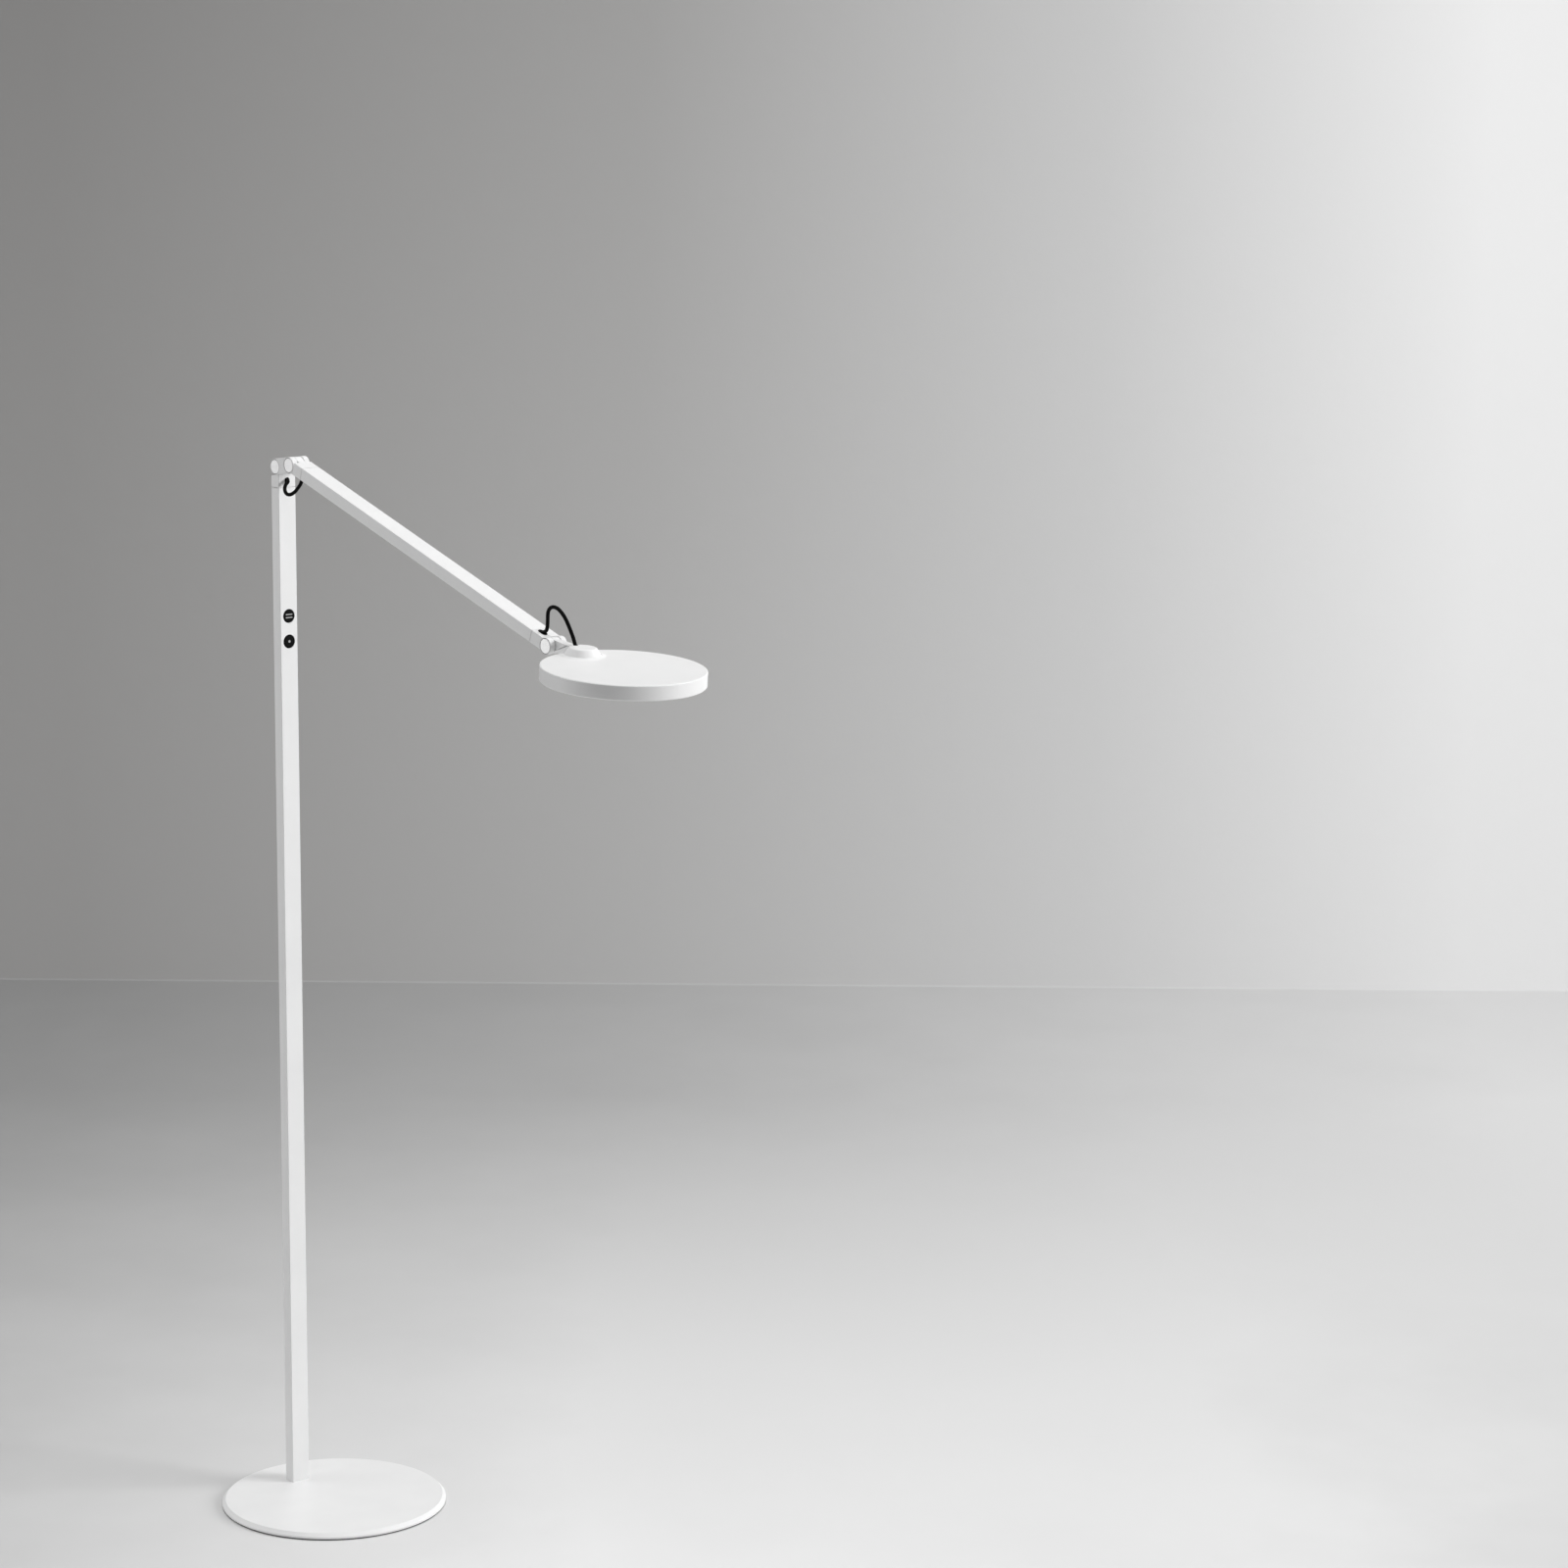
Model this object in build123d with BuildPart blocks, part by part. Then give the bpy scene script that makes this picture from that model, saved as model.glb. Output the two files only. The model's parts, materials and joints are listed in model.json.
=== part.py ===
from build123d import *
import os
from math import atan2, cos, degrees, radians, sin, tan

# Adjustable arm floor lamp, in millimetres.
# The origin is the centre of the round base on the floor, +Z is up, and +X is the
# way the buttons face and the arm reaches. The pose is the photographed one.

# Base: a heavy round plate on a thin pad, with the post behind its centre
base_diameter = 250.0
plate_thickness = 6.0
pad_thickness = 1.5
pad_inset = 1.2
base_bevel = 3.8
post_setback = 70.0

# Post and arm: the same flat rectangular tube
tube_width = 22.5
tube_depth = 13.5
tube_wall = 1.5
tube_corner = 0.8
seam_gap = 0.7
plug_clearance = 0.1
plug_length = 22.0

# Elbow: two pivots on a short link
elbow_height = 1162.0
post_seam_drop = 22.2
link_length = 25.4
link_angle = 8.5
joint_radius = 8.8
stop_gap = 0.3

# Arm, from the second elbow pivot to the head pivot
arm_length = 461.0
arm_angle = -18.3
arm_seam = 24.0
arm_end_gap = 0.7

# Tongue-and-fork joints: one tongue turns between two cheeks
tongue_width = 8.4
slot_width = 9.9
slot_radius = 7.2
slot_reach = 24.0
washer_thickness = 0.4
washer_radius = 6.6
tongue_round = 8.5
axle_radius = 3.0
axle_fit = 0.05
axle_head_radius = 5.0
axle_head_height = 2.7
axle_thread_end = 10.0
nut_across_flats = 9.0
counterbore_radius = 5.5
counterbore_depth = 3.8
cap_diameter = 15.5
cap_height = 0.8
cap_sunk = 0.1
cap_ring_radius = 8.25
cap_ring_height = 0.45

# Angles that the fork slots leave free, measured from each fork's own axis
link_rise = 35.0
arm_swing = (-56.0, 90.0)
head_swing = (-78.0, 64.0)

# Head: a round lamp plate carried by a neck and a low hub
head_diameter = 168.4
head_thickness = 15.8
head_wall = 1.8
head_top_wall = 2.0
head_centre = 110.8
head_drop = 1.6
head_angle = -3.9
neck_step = 10.2
neck_end = 26.1
neck_width = 10.0
neck_top = 6.4
neck_tip = 5.6
neck_bottom = -4.2
waist_start = -2.6
waist_end = 4.9
waist_width = 8.4
skirt_width = 16.4
waist_slit = 1.2
waist_web = 4.0
roll_height = 1.4
spigot_radius = 1.8
spigot_length = 5.8
hub_centre = 46.5
hub_base_radius = 19.5
hub_top_radius = 13.8
hub_height = 8.2
hub_wall = 1.6
hub_rounding = 2.2
fairing_radius = 24.0
fairing_height = 1.1
hub_collar_start = 26.45
hub_collar_end = 30.6
hub_cable_at = 34.6
hub_cable_sunk = 1.26
hub_cable_lean = 24.0

# Light inside the head, as depths below the top face
spreader_depth = 4.0
spreader_thickness = 1.3
spreader_radius = 76.0
led_board_thickness = 1.2
led_board_radius = 70.0
led_size = 3.0
led_height = 0.7
diffuser_depth = 12.1
diffuser_thickness = 2.3
diffuser_radius = 72.0
trim_inner_radius = 69.5
trim_depth = 11.0
trim_lip = 1.0
trim_inset = 0.4

# Push buttons on the front of the post
button_heights = (998.2, 970.1)
button_radius = 7.4
button_face_radius = 5.7
button_gap = 0.3
button_proud = 0.4
button_travel = 0.8
button_flange_radius = 8.5
button_flange = 1.0
mark_depth = 0.2

# Cables
cable_diameter = 4.0
cable_fit = 0.05
cable_gap = 0.1
cable_sway = 0.7
bore_radius = 2.6
grommet_size = 6.4
grommet_flange = 0.8
grommet_step = 0.7
grommet_depth = 1.5
post_exit_drop = 15.0
post_cable_set = -1.5
heel_entry = 17.6
heel_cable_up = 0.6
tip_exit = 16.5
tip_cable_rise = 30.0
arm_cable_side = -3.0
inlet_height = 58.0

# Places worked out from the sizes above
base_top = pad_thickness + plate_thickness
post_x = -post_setback
front_x = post_x + tube_depth / 2
rear_x = post_x - tube_depth / 2
inner_front_x = front_x - tube_wall
inner_rear_x = rear_x + tube_wall
post_seam = elbow_height - post_seam_drop
half_width = tube_width / 2
half_depth = tube_depth / 2
half_tongue = tongue_width / 2
plug_width = tube_width - 2 * tube_wall - 2 * plug_clearance
plug_depth = tube_depth - 2 * tube_wall - 2 * plug_clearance
cable_radius = cable_diameter / 2
cap_seat = half_width - cap_sunk - cap_height
on_bottom = (Align.CENTER, Align.CENTER, Align.MIN)
on_top = (Align.CENTER, Align.CENTER, Align.MAX)
along_x = (0, 90, 0)


def side_plane(x, z, angle):
    """A plane in the lamp's middle: its X runs along a member, its Y up, its Z to the -Y side."""
    direction = (cos(radians(angle)), 0, sin(radians(angle)))
    return Plane(origin=(x, 0, z), x_dir=direction, z_dir=(0, -1, 0))


def cross_plane(plane, along, up):
    """A plane square to a member, at a point along it and above its axis."""
    return Plane(
        origin=plane.from_local_coords((along, up, 0)), x_dir=(0, 1, 0), z_dir=plane.x_dir
    )


def level_plane(plane, along, up, side=0):
    """A plane that lies on a member, with its Z square to it, upwards."""
    return Plane(
        origin=plane.from_local_coords((along, up, -side)), x_dir=plane.x_dir, z_dir=plane.y_dir
    )


post_plane = side_plane(post_x, elbow_height, 0)
link_plane = side_plane(post_x, elbow_height, link_angle)
elbow_pivot = link_plane.from_local_coords((link_length, 0, 0))
arm_plane = side_plane(elbow_pivot.X, elbow_pivot.Z, arm_angle)
head_pivot = arm_plane.from_local_coords((arm_length, 0, 0))
tip_plane = side_plane(head_pivot.X, head_pivot.Z, arm_angle)
head_plane = side_plane(head_pivot.X, head_pivot.Z, head_angle)
face_plane = level_plane(head_plane, head_centre, -head_drop)
hub_plane = level_plane(head_plane, hub_centre, -head_drop)
head_up = Axis(face_plane.origin, face_plane.z_dir)
arm_way = Axis(arm_plane.origin, arm_plane.x_dir)


def bar(plane, start, end, depth, width, mode=Mode.ADD):
    """A straight bar along a member's axis."""
    with BuildSketch(plane) as profile:
        with Locations(((start + end) / 2, 0)):
            Rectangle(end - start, depth)
    extrude(profile.sketch, amount=width / 2, both=True, mode=mode)


def cross_round(plane, along, radius, low, high, mode=Mode.ADD):
    """A round across a member at a pivot, between two distances from the middle."""
    with BuildSketch(plane.offset(low)) as profile:
        with Locations((along, 0)):
            Circle(radius)
    extrude(profile.sketch, amount=high - low, mode=mode)


def long_round(plane, radius, length, mode=Mode.ADD):
    """A round that stands on a plane."""
    with BuildSketch(plane) as profile:
        Circle(radius)
    extrude(profile.sketch, amount=length, mode=mode)


def swing_slot(plane, along, first, last):
    """Cuts the room that a tongue needs to swing between two angles about a pivot."""
    with BuildSketch(plane) as room:
        with Locations((along, 0)):
            Circle(slot_radius)
            with PolarLocations(slot_reach, 4, first, last - first, endpoint=True):
                Circle(slot_radius)
        make_hull()
    extrude(room.sketch, amount=slot_width / 2, both=True, mode=Mode.SUBTRACT)


def tongue_disc(plane, along=0):
    """The round end of a tongue, nearly as large as the cheeks beside it."""
    cross_round(plane, along, tongue_round, -half_tongue, half_tongue)


def disc_room(plane, along):
    """Cuts the room for a tongue's round end between two cheeks."""
    cross_round(
        plane, along, tongue_round + stop_gap, -slot_width / 2, slot_width / 2, Mode.SUBTRACT
    )


def axle_bores(plane, along):
    """Cuts a pivot's bore, the two sunk seats for its head and its nut, and the caps' recesses."""
    cross_round(plane, along, axle_radius + axle_fit, -half_width, half_width, Mode.SUBTRACT)
    seat = half_width - counterbore_depth
    cross_round(plane, along, counterbore_radius, seat, half_width, Mode.SUBTRACT)
    cross_round(plane, along, counterbore_radius, -half_width, -seat, Mode.SUBTRACT)
    cross_round(plane, along, cap_ring_radius, cap_seat, half_width, Mode.SUBTRACT)
    cross_round(plane, along, cap_ring_radius, -half_width, -cap_seat, Mode.SUBTRACT)


def axle(plane, along):
    """A headed axle: its head on the -Y side, its thread on the +Y side."""
    seat = half_width - counterbore_depth
    cross_round(plane, along, axle_head_radius, seat, seat + axle_head_height)
    cross_round(plane, along, axle_radius, -axle_thread_end, seat)


def axle_nut(plane, along):
    """The nut on an axle's thread."""
    seat = half_width - counterbore_depth
    with BuildSketch(plane.offset(-seat - axle_head_height)) as profile:
        with Locations((along, 0)):
            RegularPolygon(nut_across_flats / 2, 6, major_radius=False)
            Circle(axle_radius + axle_fit, mode=Mode.SUBTRACT)
    extrude(profile.sketch, amount=axle_head_height)


def friction_washers(plane, along):
    """A thin washer against each cheek of a fork."""
    inner = slot_width / 2 - washer_thickness
    for low in (inner, -slot_width / 2):
        with BuildSketch(plane.offset(low)) as profile:
            with Locations((along, 0)):
                Circle(washer_radius)
                Circle(axle_radius + axle_fit, mode=Mode.SUBTRACT)
        extrude(profile.sketch, amount=washer_thickness)


def pivot_caps(plane, along):
    """A turned disc in the recess over each end of a pivot."""
    cross_round(plane, along, cap_diameter / 2, cap_seat, cap_seat + cap_height)
    cross_round(plane, along, cap_diameter / 2, -cap_seat - cap_height, -cap_seat)


def cap_rings(plane, along):
    """The dark ring around each turned disc, deeper in the recess than the disc's face."""
    for low in (cap_seat, -cap_seat - cap_ring_height):
        with BuildSketch(plane.offset(low)) as ring:
            with Locations((along, 0)):
                Circle(cap_ring_radius - cable_fit)
                Circle(cap_diameter / 2 + cable_fit, mode=Mode.SUBTRACT)
        extrude(ring.sketch, amount=cap_ring_height)


def oval(plane, length, width, depth, mode=Mode.ADD):
    """A round or an oval that stands on a plane."""
    with BuildSketch(plane) as profile:
        if length > width:
            SlotOverall(length, width)
        else:
            Circle(width / 2)
    extrude(profile.sketch, amount=depth, mode=mode)


def grommet(plane, way, length, width, depth, flange=grommet_flange):
    """A rubber bush in a wall: a flange on the face, a barrel below it, and a bore along the cable."""
    oval(plane, length, width, flange)
    fillet(faces().sort_by(Axis(plane.origin, plane.z_dir))[-1].edges(), flange * 0.6)
    oval(plane, length - grommet_step, width - grommet_step, -depth)
    hole = Plane(origin=plane.origin, z_dir=way)
    long_round(hole.offset(-12), cable_radius + cable_fit, 24, Mode.SUBTRACT)


def grommet_seat(plane, length, width, depth):
    """Cuts the seat of a grommet's barrel."""
    step = grommet_step - 2 * cable_fit
    oval(plane, length - step, width - step, -depth, Mode.SUBTRACT)


def channel(points, bend):
    """Cuts the channel in which a cable turns a corner."""
    with BuildLine(mode=Mode.PRIVATE) as route:
        FilletPolyline(*points, radius=bend)
    start = Plane(origin=points[0], z_dir=Vector(points[1]) - Vector(points[0]))
    with BuildSketch(start, mode=Mode.PRIVATE) as section:
        Circle(bore_radius)
    sweep(section.sketch, path=route.wire(), mode=Mode.SUBTRACT)


def middle(first, second, gap):
    """The middle of a run, a little towards its start or its end."""
    run = Vector(second) - Vector(first)
    return tuple(Vector(first) + run * 0.5 + run.normalized() * gap)


def swaying(start, end, count):
    """Points on a cable that lies loose in a straight tube, swaying a little across it."""
    run = Vector(end) - Vector(start)
    across = run.cross(Vector(0, 1, 0)).normalized() * cable_sway
    steps = range(1, count)
    return [tuple(Vector(start) + run * (i / count) + across * (-1) ** i) for i in steps]


def route_radii(points):
    """The largest arc that fits each corner of a route: a run at either end has only one arc to hold."""
    runs = [Vector(after) - Vector(before) for before, after in zip(points, points[1:])]
    room = [0.45 * run.length for run in runs]
    room[0] *= 2
    room[-1] *= 2
    radii = []
    for i in range(len(runs) - 1):
        turn = radians(runs[i].get_angle(runs[i + 1]))
        radii.append(min(room[i], room[i + 1]) / tan(turn / 2))
    return radii


def cable(name, points):
    """A round cable on straight runs and tangent arcs."""
    radii = route_radii(points)
    with BuildPart() as tube:
        with BuildLine() as route:
            FilletPolyline(*points, radius=radii)
        with BuildSketch(Plane(origin=points[0], z_dir=Vector(points[1]) - Vector(points[0]))):
            Circle(cable_radius)
        sweep(path=route.wire())
    length = route.wire().length
    section = 3.14159 * cable_radius**2
    print(f"{name}: {length:.1f} mm, radii", [round(r, 1) for r in radii])
    print(f"  volume {tube.part.volume:.0f}, section times length {section * length:.0f}")
    return tube


# Base

bolt_sides = (-6.0, 6.0)
bolt_radius = 2.5
bolt_head_radius = 4.5
bolt_head_height = 3.4
bolt_length = 26.0
foot_height = 40.0

with BuildPart() as base_pad:
    Cylinder(base_diameter / 2 - pad_inset, pad_thickness, align=on_bottom)
    chamfer(base_pad.edges().group_by(Axis.Z)[0], 0.4)

with BuildPart(Plane.XY.offset(pad_thickness)) as base_plate:
    Cylinder(base_diameter / 2, plate_thickness, align=on_bottom)
    chamfer(base_plate.edges().group_by(Axis.Z)[-1], base_bevel)
    chamfer(base_plate.edges().group_by(Axis.Z)[0], 0.3)
    with Locations(*[(post_x, y, 0) for y in bolt_sides]):
        Cylinder(bolt_radius + 0.2, plate_thickness, align=on_bottom, mode=Mode.SUBTRACT)
        Cylinder(bolt_head_radius + 0.3, bolt_head_height + 0.3, align=on_bottom, mode=Mode.SUBTRACT)

with BuildPart(Plane.XY.offset(pad_thickness + 0.2)) as base_bolts:
    with Locations(*[(post_x, y, 0) for y in bolt_sides]):
        Cylinder(bolt_head_radius, bolt_head_height, align=on_bottom)
        Cylinder(bolt_radius, bolt_length, align=on_bottom)
        Cylinder(2.0, 1.6, align=on_bottom, mode=Mode.SUBTRACT)

with BuildPart(Plane(origin=(post_x, 0, base_top))) as post_foot:
    Box(plug_depth, plug_width, foot_height, align=on_bottom)
    chamfer(post_foot.edges().group_by(Axis.Z)[-1], 0.8)
    with Locations(*[(0, y, 0) for y in bolt_sides]):
        Cylinder(bolt_radius + 0.05, bolt_length, align=on_bottom, mode=Mode.SUBTRACT)

# Post

screw_drop = 10.0
screw_sides = (-6.2, 6.2)
screw_radius = 2.0
screw_length = 4.5
inlet_barrel_radius = 4.0
inlet_flange_radius = 5.2

post_exit_z = elbow_height - post_exit_drop
post_cable_x = post_x + post_cable_set
post_bend = (post_cable_x, 0, post_exit_z)
post_mouth = Plane(origin=(front_x, 0, post_exit_z), z_dir=(1, 0, 0))
cable_bend = 5.7

with BuildPart() as post_tube:
    with BuildSketch(Plane(origin=(post_x, 0, base_top))):
        RectangleRounded(tube_depth, tube_width, tube_corner)
        Rectangle(tube_depth - 2 * tube_wall, tube_width - 2 * tube_wall, mode=Mode.SUBTRACT)
    extrude(amount=post_seam - seam_gap - base_top)
    with Locations(*[(front_x, 0, z) for z in button_heights]):
        Cylinder(button_radius + button_gap, 4 * tube_wall, rotation=along_x, mode=Mode.SUBTRACT)
    with Locations((rear_x, 0, inlet_height)):
        Cylinder(inlet_barrel_radius + 0.05, 4 * tube_wall, rotation=along_x, mode=Mode.SUBTRACT)
    with Locations(*[(rear_x, y, post_seam - screw_drop) for y in screw_sides]):
        Cylinder(screw_radius + 0.1, 4 * tube_wall, rotation=along_x, mode=Mode.SUBTRACT)


def shoulder(x):
    """Height of the post head's sloping top below the pivot, parallel to the resting link."""
    return x * tan(radians(link_angle)) - (joint_radius + stop_gap) / cos(radians(link_angle))


with BuildPart() as post_head:
    with BuildSketch(post_plane):
        with BuildLine():
            Polyline(
                (-half_depth, -post_seam_drop),
                (half_depth, -post_seam_drop),
                (half_depth, shoulder(half_depth)),
                (-half_depth, shoulder(-half_depth)),
                close=True,
            )
        make_face()
    extrude(amount=half_width, both=True)
    fillet(post_head.edges().filter_by(Axis.Z), tube_corner)
    with BuildSketch(post_plane):
        Circle(half_depth)
        with Locations((0, -post_seam_drop / 2)):
            Rectangle(tube_depth, post_seam_drop)
    extrude(amount=half_tongue, both=True)
    with Locations((post_x, 0, post_seam)):
        Box(plug_depth, plug_width, plug_length, align=on_top)
    channel([(post_cable_x, 0, post_exit_z - 60), post_bend, (front_x + 4, 0, post_exit_z)], cable_bend)
    grommet_seat(post_mouth, grommet_size, grommet_size, grommet_depth)
    cross_round(post_plane, 0, axle_radius + axle_fit, -half_width, half_width, Mode.SUBTRACT)
    with Locations(*[(rear_x, y, post_seam - screw_drop) for y in screw_sides]):
        Cylinder(screw_radius + 0.05, 2 * screw_length + 1, rotation=along_x, mode=Mode.SUBTRACT)

with BuildPart() as post_head_screws:
    with Locations(*[(rear_x + 0.2, y, post_seam - screw_drop) for y in screw_sides]):
        Cylinder(screw_radius, screw_length, rotation=along_x, align=on_bottom)
        Cylinder(1.0, 1.5, rotation=along_x, align=on_bottom, mode=Mode.SUBTRACT)

with BuildPart() as post_grommet:
    grommet(post_mouth, (1, 0, 0), grommet_size, grommet_size, grommet_depth)

with BuildPart(Plane(origin=(rear_x, 0, inlet_height), z_dir=(-1, 0, 0))) as inlet_bush:
    Cylinder(inlet_flange_radius, 1.8, align=on_bottom)
    fillet(inlet_bush.edges().group_by(Axis.X)[0], 0.8)
    Cylinder(inlet_barrel_radius, 3.0, align=on_top)
    Cylinder(cable_radius + 0.2, 12.0, mode=Mode.SUBTRACT)

# Controls behind the buttons

board_low = 940.0
board_high = 1030.0
carrier_margin = 5.0
carrier_back = 1.0
carrier_rail = 0.9
board_thickness = 1.2
board_width = 16.6
switch_size = 6.0
switch_body = 3.2
plunger_radius = 1.5
plunger_height = 0.6
terminal_size = (4.4, 9.0, 7.0)
coil_radius = 3.2
coil_height = 3.0
coil_at = 956.0
carrier_x = inner_rear_x + 0.15
board_x = carrier_x + carrier_back + 0.1
board_front_x = board_x + board_thickness
plunger_x = board_front_x + switch_body + plunger_height

with BuildPart() as switch_carrier:
    carrier_height = board_high - board_low + 2 * carrier_margin
    with Locations((carrier_x, 0, board_low - carrier_margin)):
        Box(carrier_back, plug_width, carrier_height, align=(Align.MIN, Align.CENTER, Align.MIN))
    for side in (1, -1):
        with Locations((carrier_x, side * (plug_width - carrier_rail) / 2, board_low - carrier_margin)):
            Box(4.2, carrier_rail, carrier_height, align=(Align.MIN, Align.CENTER, Align.MIN))

with BuildPart() as control_board:
    with Locations((board_x, 0, board_low)):
        Box(board_thickness, board_width, board_high - board_low, align=(Align.MIN, Align.CENTER, Align.MIN))

with BuildPart() as tact_switches:
    with Locations(*[(board_front_x, 0, z) for z in button_heights]):
        Box(switch_body, switch_size, switch_size, align=(Align.MIN, Align.CENTER, Align.CENTER))
        Cylinder(
            plunger_radius, switch_body + plunger_height, rotation=along_x,
            align=(Align.CENTER, Align.CENTER, Align.MIN),
        )

with BuildPart() as wire_terminals:
    with Locations((board_front_x, 0, board_low)):
        Box(*terminal_size, align=(Align.MIN, Align.CENTER, Align.MIN))
    with Locations((board_front_x, 0, board_high)):
        Box(*terminal_size, align=(Align.MIN, Align.CENTER, Align.MAX))

with BuildPart() as driver_coil:
    with Locations((board_front_x, 0, coil_at)):
        Cylinder(coil_radius, coil_height, rotation=along_x, align=on_bottom)
        with Locations((coil_height, 0, 0)):
            Cylinder(coil_radius * 0.55, 0.6, rotation=along_x, align=on_bottom)


def key_plane(height):
    """The plane of a button's outer face."""
    return Plane(origin=(front_x + button_proud, 0, height), x_dir=(0, 1, 0), z_dir=(1, 0, 0))


def button_body(height, mark):
    """A button: a round key through the post wall, a flange behind it and a stem to its switch."""
    flange_x = inner_front_x - 0.3
    stem_x = plunger_x + button_travel + 0.3
    with BuildPart(key_plane(height)) as key:
        with Locations((0, 0, -button_proud)):
            Cylinder(button_radius, front_x - flange_x, align=on_top)
        fillet(key.faces().sort_by(Axis.X)[-1].edges(), 0.4)
        Cylinder(button_face_radius, 2 * button_proud, align=on_top)
        fillet(key.faces().sort_by(Axis.X)[-1].edges(), 0.3)
        with Locations((0, 0, flange_x - front_x - button_proud)):
            Cylinder(button_flange_radius, button_flange, align=on_top)
        with Locations((0, 0, stem_x - front_x - button_proud)):
            Cylinder(2.0, flange_x - stem_x, align=on_bottom)
        extrude(mark, amount=-mark_depth, mode=Mode.SUBTRACT)
    return key


def bars_mark(height):
    """Two level bars, as printed on a dimmer key."""
    with BuildSketch(key_plane(height)) as s:
        with GridLocations(0, 3.4, 1, 2):
            RectangleRounded(8.8, 1.2, 0.5)
    return s.sketch


def dot_mark(height):
    """One dot, as printed on a switch key."""
    with BuildSketch(key_plane(height)) as s:
        Circle(1.5)
    return s.sketch


upper_print = bars_mark(button_heights[0])
lower_print = dot_mark(button_heights[1])
upper_button = button_body(button_heights[0], upper_print)
lower_button = button_body(button_heights[1], lower_print)

with BuildPart() as upper_button_mark:
    extrude(upper_print, amount=-mark_depth)

with BuildPart() as lower_button_mark:
    extrude(lower_print, amount=-mark_depth)

# Elbow link and its two pivots

link_pivots = (0.0, link_length)

with BuildPart() as elbow_link:
    with BuildSketch(link_plane):
        with Locations((link_length / 2, 0)):
            SlotCenterToCenter(link_length, 2 * joint_radius)
    extrude(amount=half_width, both=True)
    outer_rims = elbow_link.faces().filter_by(Axis.Y).edges()
    fillet(outer_rims, 0.3)
    swing_slot(link_plane, 0, -92 - link_angle - link_rise, -90 - link_angle + 2)
    swing_slot(link_plane, link_length, *arm_swing)
    disc_room(link_plane, link_length)
    for along in link_pivots:
        axle_bores(link_plane, along)

with BuildPart() as elbow_axles:
    for along in link_pivots:
        axle(link_plane, along)

with BuildPart() as elbow_nuts:
    for along in link_pivots:
        axle_nut(link_plane, along)

with BuildPart() as elbow_washers:
    for along in link_pivots:
        friction_washers(link_plane, along)

with BuildPart() as elbow_caps:
    for along in link_pivots:
        pivot_caps(link_plane, along)
    rims = elbow_caps.edges().filter_by(GeomType.CIRCLE).group_by(Axis.Y)
    fillet(rims[0] + rims[-1], 0.25)

with BuildPart() as elbow_cap_rings:
    for along in link_pivots:
        cap_rings(link_plane, along)

# Arm

arm_block = joint_radius + arm_end_gap
tip_at = arm_length - arm_seam
tube_start = arm_seam + seam_gap
tube_end = tip_at - seam_gap
heel_top = level_plane(arm_plane, heel_entry, -half_depth, arm_cable_side)
heel_mouth = Plane(origin=heel_top.origin, x_dir=heel_top.x_dir, z_dir=-heel_top.z_dir)
tip_mouth = level_plane(arm_plane, arm_length - tip_exit, half_depth, arm_cable_side)
tip_screw_at = 12.0
tip_screw_radius = 2.0
tip_screw_length = 3.4
tip_low = level_plane(arm_plane, arm_length - tip_screw_at, -half_depth)
tip_under = Plane(origin=tip_low.origin, x_dir=tip_low.x_dir, z_dir=-tip_low.z_dir)
tip_slope = tan(radians(tip_cable_rise))
tip_inside = tip_exit + half_depth / tip_slope
tip_grommet_length = 12.0
tip_grommet_width = 6.2
tip_grommet_depth = 0.8
heel_bend = 6.2


def on_arm(along, up, side=arm_cable_side):
    """A point on the arm, along it, above its axis and to one side."""
    return tuple(arm_plane.from_local_coords((along, up, -side)))


def before_tip(back, up, side=arm_cable_side):
    """A point on the arm, measured back from the head pivot."""
    return on_arm(arm_length - back, up, side)


tip_way = Vector(before_tip(0, tip_slope * tip_inside)) - Vector(before_tip(tip_inside, 0))


def along_arm(part, radius):
    """Rounds the corner edges that run along the arm."""
    fillet(part.edges().filter_by(arm_way), radius)


with BuildPart() as arm_heel:
    bar(arm_plane, arm_block, arm_seam, tube_depth, tube_width)
    along_arm(arm_heel, tube_corner)
    with BuildSketch(arm_plane):
        Circle(half_depth)
        with Locations((arm_block / 2 + 1, 0)):
            Rectangle(arm_block + 2, tube_depth)
    extrude(amount=half_tongue, both=True)
    tongue_disc(arm_plane)
    bar(arm_plane, arm_seam, arm_seam + plug_length, plug_depth, plug_width)
    cross_round(arm_plane, 0, axle_radius + axle_fit, -half_width, half_width, Mode.SUBTRACT)
    channel(
        [on_arm(heel_entry, -12), on_arm(heel_entry, heel_cable_up), on_arm(60, heel_cable_up)],
        heel_bend,
    )
    grommet_seat(heel_mouth, grommet_size, grommet_size, grommet_depth)

with BuildPart() as heel_grommet:
    grommet(heel_mouth, heel_mouth.z_dir, grommet_size, grommet_size, grommet_depth)

with BuildPart() as arm_tube:
    bar(arm_plane, tube_start, tube_end, tube_depth, tube_width)
    along_arm(arm_tube, tube_corner)
    bar(
        arm_plane, tube_start, tube_end, tube_depth - 2 * tube_wall, tube_width - 2 * tube_wall,
        Mode.SUBTRACT,
    )

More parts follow.
